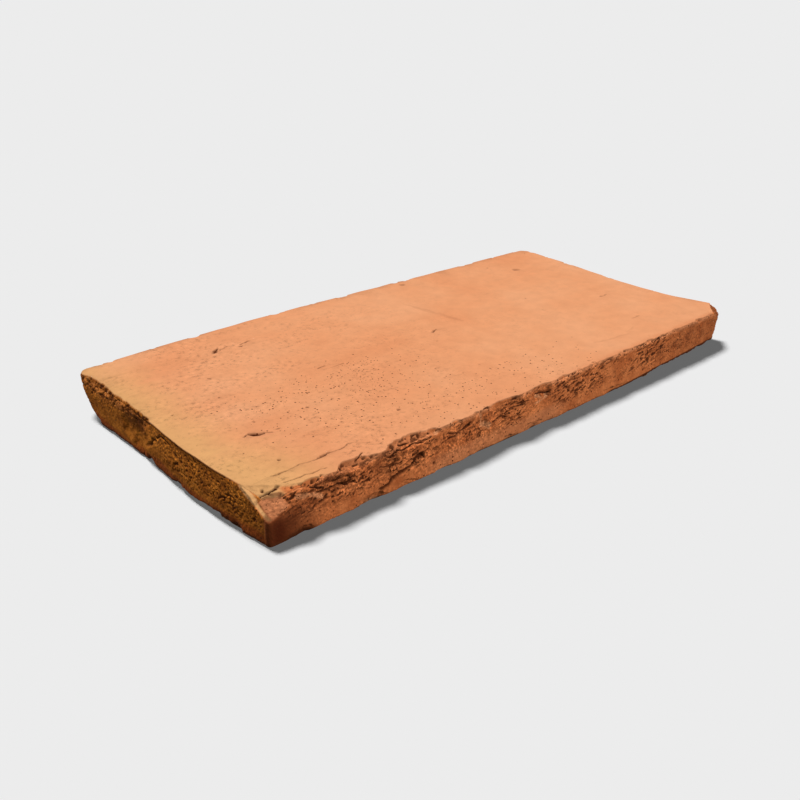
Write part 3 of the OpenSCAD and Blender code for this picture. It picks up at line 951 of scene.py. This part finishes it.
# Colours as they look in plain light, besides the painted shade and highlights that some of them carry, and
# sizes in mm. The finest pin holes and specks of fired clay would be smaller than a pixel, so they are drawn
# coarser here, just large enough to show.
clay = {
    "skin": "#e79d6e",
    "skinPale": "#e9a375",
    "skinDeep": "#e49667",
    "bloomAndHighlight": "#dfa66c",
    "flush": "#df9061",
    "wall": "#e6874e",
    "wallDeep": "#c06736",
    "oliveAndShade": "#cf7d2c",
    "oliveDeep": "#9e5719",
    "rust": "#a5521f",
    "scorchAndShade": "#56220a",
    "fresh": "#d38659",
    "freshDeep": "#b56e45",
    "shadedHollow": "#5a2a10",
    "mottleSize": 45.0,
    "patchSize": 6.0,
    "speckSize": 0.9,
    "grainSize": 2.4,
    "gritSize": 0.6,
    "blotches": 0.045,     # how much light and dark the patches give the whole tile
    "speckShade": 0.5,        # painted shade: how much darker the sunken specks of a wall are
    "crumbs": 0.9,         # painted highlight: how much lighter its standing crumbs are
    "flecks": 0.48,        # how much darker the flecks of the face are
    "pinSize": 1.3,        # one pin hole to a cell of this size, at most
    "pinWidth": 0.32,      # the widest of them, as a share of its cell
    "slitSize": (2.6, 2.6, 0.9),
    "slitLean": 0.27,      # radians
    "slitLevels": (0.58, 0.64),   # where the noise begins to be a slit and where it is full depth
    "slitDepth": 1.0,
    "gritHeight": 0.12,
    "grainHeight": 0.35,
}


def firedClay():
    # terracotta, struck by hand and fired without glaze: dry, matte and open-pored, so it has hardly any
    # sheen, its colour drifts with the kiln's heat, and its grit shows as a fine tooth
    material = bpy.data.materials.new("fired_terracotta")
    material.use_nodes = True
    tree = material.node_tree
    tree.nodes.clear()
    place = addNode(tree, "ShaderNodeTexCoord").outputs["Object"]
    mask = {}
    for name in ("shadedHollow", "broken", "wall", "bloomAndHighlight", "flush", "oliveAndShade", "rust", "scorchAndShade", "porous", "gritShading",
                 "torn", "flecked"):
        mask[name] = addNode(tree, "ShaderNodeAttribute", {"attribute_name": name}).outputs["Fac"]
    drift = {}
    for name, detail, rough in (
        ("mottle", 4, 0.5),
        ("patch", 5, 0.5),
        ("speck", 3, 0.5),
        ("grain", 6, 0.8),
        ("grit", 3, 0.5),
    ):
        settings = {"Scale": perSize(clay[name + "Size"]), "Detail": detail, "Roughness": rough}
        drift[name] = addNode(tree, "ShaderNodeTexNoise", settings, {"Vector": place}).outputs["Fac"]

    tints = {}
    for name, pattern, shades in (
        ("skin", "mottle", ("skinDeep", "skin", "skinPale")),
        ("wall", "patch", ("wallDeep", "wall")),
        ("oliveAndShade", "patch", ("oliveDeep", "oliveAndShade")),
        ("fresh", "patch", ("freshDeep", "fresh")),
    ):
        ramp = addNode(tree, "ShaderNodeValToRGB", {}, {"Fac": drift[pattern]})
        steps = ramp.color_ramp.elements
        while len(steps) < len(shades):
            steps.new(0.5)
        for i, shade in enumerate(shades):
            steps[i].position = 0.3 + 0.4 * i / (len(shades) - 1)
            steps[i].color = linear(clay[shade])
        tints[name] = ramp.outputs["Color"]

    # each area's colour is laid over the skin: a ramp's, or else a plain one
    colour = tints["skin"]
    for name, ramp in (
        ("flush", None),
        ("bloomAndHighlight", None),
        ("wall", "wall"),
        ("oliveAndShade", "oliveAndShade"),
        ("rust", None),
        ("scorchAndShade", None),
        ("broken", "fresh"),
    ):
        settings, links = {"data_type": "RGBA"}, {0: mask[name], 6: colour}
        if ramp:
            links[7] = tints[ramp]
        else:
            settings[7] = linear(clay[name])
        colour = addNode(tree, "ShaderNodeMix", settings, links).outputs[2]

    # blotches all over, painted highlight and shade on the walls' grains, and dark flecks on the face
    for pattern, low, high, darkest, lightest, part in (
        ("patch", 0.3, 0.7, 1 - clay["blotches"], 1 + clay["blotches"], None),
        ("speck", 0.36, 0.52, 1 - clay["speckShade"], 1.0, "gritShading"),
        ("speck", 0.54, 0.68, 1.0, 1 + clay["crumbs"], "gritShading"),
        ("grain", 0.36, 0.47, 1 - clay["flecks"], 1.0, "flecked"),
        ("grain", 0.54, 0.66, 1.0, 1 + 0.4 * clay["flecks"], "flecked"),
    ):
        settings = {"From Min": low, "From Max": high, "To Min": darkest, "To Max": lightest}
        tone = addNode(tree, "ShaderNodeMapRange", settings, {"Value": drift[pattern]})
        links = {6: colour, 7: tone.outputs[0]}
        if part:
            links[0] = mask[part]
        settings = {"data_type": "RGBA", "blend_type": "MULTIPLY", 0: 1.0}
        colour = addNode(tree, "ShaderNodeMix", settings, links).outputs[2]

    # pin holes: one to a cell at most, and in more of the cells where the clay is more porous
    cells = addNode(tree, "ShaderNodeTexVoronoi", {"Scale": perSize(clay["pinSize"])}, {"Vector": place})
    pick = addNode(tree, "ShaderNodeSeparateColor", {}, {"Color": cells.outputs["Color"]})
    fewest = addNode(tree, "ShaderNodeMapRange", {"To Min": 1.0, "To Max": 0.2}, {"Value": mask["porous"]})
    settings = {"From Max": 1.01, "To Min": 0.0, "To Max": clay["pinWidth"]}
    links = {"Value": pick.outputs[0], "From Min": fewest.outputs[0]}
    width = addNode(tree, "ShaderNodeMapRange", settings, links)
    links = {0: cells.outputs["Distance"], 1: width.outputs[0]}
    pin = addNode(tree, "ShaderNodeMath", {"operation": "LESS_THAN"}, links)

    # slits that the mould tore, rising to the right: a noise drawn out along them, cut off at a level
    settings = {
        "vector_type": "TEXTURE",
        "Rotation": (0, -clay["slitLean"], 0),
        "Scale": [size * mm for size in clay["slitSize"]],
    }
    lean = addNode(tree, "ShaderNodeMapping", settings, {"Vector": place})
    tear = addNode(tree, "ShaderNodeTexNoise", {"Scale": 1.0, "Detail": 2.0}, {"Vector": lean.outputs[0]})
    shallow, full = clay["slitLevels"]
    settings = {"From Min": shallow, "From Max": full}
    slit = addNode(tree, "ShaderNodeMapRange", settings, {"Value": tear.outputs["Fac"]})
    slit = addNode(tree, "ShaderNodeMath", {"operation": "MULTIPLY"}, {0: slit.outputs[0], 1: mask["torn"]})

    # painted shade: the deepest of hollows, pin holes and slits darkens the clay
    pit = addNode(tree, "ShaderNodeMapRange", {"From Min": 0.1, "From Max": 0.8}, {"Value": mask["shadedHollow"]})
    for other in (pin, slit):
        links = {0: pit.outputs[0], 1: other.outputs[0]}
        pit = addNode(tree, "ShaderNodeMath", {"operation": "MAXIMUM"}, links)
    settings = {"data_type": "RGBA", 7: linear(clay["shadedHollow"])}
    colour = addNode(tree, "ShaderNodeMix", settings, {0: pit.outputs[0], 6: colour}).outputs[2]

    # grit all over, coarser grains on the walls, and the slits as cuts
    grains = addNode(tree, "ShaderNodeMath", {"operation": "MULTIPLY"}, {0: drift["speck"], 1: mask["wall"]})
    links = {}
    for height, size, strength, cut in (
        (drift["grit"], "gritHeight", 0.7, False),
        (grains.outputs[0], "grainHeight", 0.8, False),
        (slit.outputs[0], "slitDepth", 0.8, True),
    ):
        settings = {"Strength": strength, "Distance": clay[size] * mm, "invert": cut}
        tooth = addNode(tree, "ShaderNodeBump", settings, {"Height": height, **links})
        links = {"Normal": tooth.outputs["Normal"]}
    links["Base Color"] = colour
    settings = {"Roughness": 0.9, "IOR": 1.5, "Specular IOR Level": 0.1}
    surface = addNode(tree, "ShaderNodeBsdfPrincipled", settings, links)
    addNode(tree, "ShaderNodeOutputMaterial", {}, {"Surface": surface.outputs["BSDF"]})
    return material


studio = {
    "azimuth": -42.65,       # degrees, as the photograph's camera stood
    "elevation": 25.06,
    "roll": 0.64,
    "distance": 0.4253,
    "target": (-0.0316, -0.01375, 0.0),
    "lens": 41.62,
    "sensor": 36,
    "nearest": 0.01,         # what the camera sees at all, in metres
    "furthest": 200,
    "floor": "#eeeeee",
    "floorBounce": "#606060",
    "floorReach": 60,
    "keyWay": (0.26, -0.38, -1.0),   # the way the light travels
    "keyStrength": 2.1,
    "keySoftness": 20.0,     # degrees that the lamp spans
    "fillWay": (-0.4, 0.75, -0.45),
    "fillStrength": 1.8,
    "fillSoftness": 25.0,
    "backdropWay": (0.06, -0.4, -1.0),
    "backdropStrength": 2.8,
    "backdropSoftness": 15.0,
    "ambient": 0.155,
}


def seenShare(tree):
    # 1 for what the eye sees straight on, in a gloss or through glass, and 0 for the light that spreads
    light = addNode(tree, "ShaderNodeLightPath").outputs
    seen = light["Is Camera Ray"]
    for ray in ("Is Glossy Ray", "Is Transmission Ray"):
        seen = addNode(tree, "ShaderNodeMath", {"operation": "MAXIMUM"}, {0: seen, 1: light[ray]}).outputs[0]
    return seen


def setCamera(scene):
    # stands off from its target along the azimuth and elevation, and leans by the roll
    az, el, roll = (math.radians(studio[k]) for k in ("azimuth", "elevation", "roll"))
    back = Vector((math.sin(az) * math.cos(el), -math.cos(az) * math.cos(el), math.sin(el)))
    right = Vector((math.cos(az), math.sin(az), 0))
    up = back.cross(right)
    across = math.cos(roll) * right + math.sin(roll) * up
    upright = -math.sin(roll) * right + math.cos(roll) * up
    lens = bpy.data.cameras.new("camera")
    lens.lens = studio["lens"]
    lens.sensor_width = studio["sensor"]
    lens.clip_start = studio["nearest"]
    lens.clip_end = studio["furthest"]
    camera = bpy.data.objects.new("camera", lens)
    turn = Matrix((across, upright, back)).transposed().to_4x4()
    camera.matrix_world = Matrix.Translation(Vector(studio["target"]) + back * studio["distance"]) @ turn
    scene.collection.objects.link(camera)
    scene.camera = camera


def setWorld(scene):
    # soft light from all round, while the eye sees the floor's own colour out there
    scene.world = bpy.data.worlds.new("studio")
    scene.world.use_nodes = True
    tree = scene.world.node_tree
    tree.nodes.clear()
    ambient = addNode(tree, "ShaderNodeBackground", {"Color": (1, 1, 1, 1), "Strength": studio["ambient"]})
    shown = addNode(tree, "ShaderNodeBackground", {"Color": linear(studio["floor"]), "Strength": 1.0})
    links = {0: seenShare(tree), 1: ambient.outputs[0], 2: shown.outputs[0]}
    both = addNode(tree, "ShaderNodeMixShader", {}, links)
    addNode(tree, "ShaderNodeOutputWorld", {}, {"Surface": both.outputs[0]})


def paperFloor(scene):
    # a sheet of matte paper: pale to the eye, but darker for the light that it throws back at the tile
    far = studio["floorReach"]
    sheet = bpy.data.meshes.new("floor")
    sheet.from_pydata([(-far, -far, 0), (far, -far, 0), (far, far, 0), (-far, far, 0)], [], [(0, 1, 2, 3)])
    floor = bpy.data.objects.new("floor", sheet)
    scene.collection.objects.link(floor)
    paper = bpy.data.materials.new("floor_paper")
    paper.use_nodes = True
    tree = paper.node_tree
    tree.nodes.clear()
    shades = {"data_type": "RGBA", 6: linear(studio["floorBounce"]), 7: linear(studio["floor"])}
    tone = addNode(tree, "ShaderNodeMix", shades, {0: seenShare(tree)})
    matte = addNode(tree, "ShaderNodeBsdfDiffuse", {}, {"Color": tone.outputs[2]})
    addNode(tree, "ShaderNodeOutputMaterial", {}, {"Surface": matte.outputs[0]})
    sheet.materials.append(paper)
    return floor


def setLamps(scene, tile, floor):
    # key and fill light the tile, and the floor has a lamp of its own, so its shadow stays plain and dark
    for name, lit in (("key", tile), ("fill", tile), ("backdrop", floor)):
        sun = bpy.data.lights.new(name, "SUN")
        sun.energy = studio[name + "Strength"]
        sun.angle = math.radians(studio[name + "Softness"])
        lamp = bpy.data.objects.new(name, sun)
        lamp.rotation_euler = Vector(studio[name + "Way"]).to_track_quat("-Z", "Y").to_euler()
        scene.collection.objects.link(lamp)
        lamp.light_linking.receiver_collection = bpy.data.collections.new(name + "_lights")
        lamp.light_linking.receiver_collection.objects.link(lit)
    tile.visible_diffuse = False   # no red cast from the clay on the floor's shadow


tile = firedTile()
tile.data.materials.append(firedClay())
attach(tile, "root")
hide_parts(tileNode)

scene = bpy.context.scene
scene.view_settings.view_transform = "Standard"
setCamera(scene)
setWorld(scene)
setLamps(scene, tile, paperFloor(scene))
print("studio set")
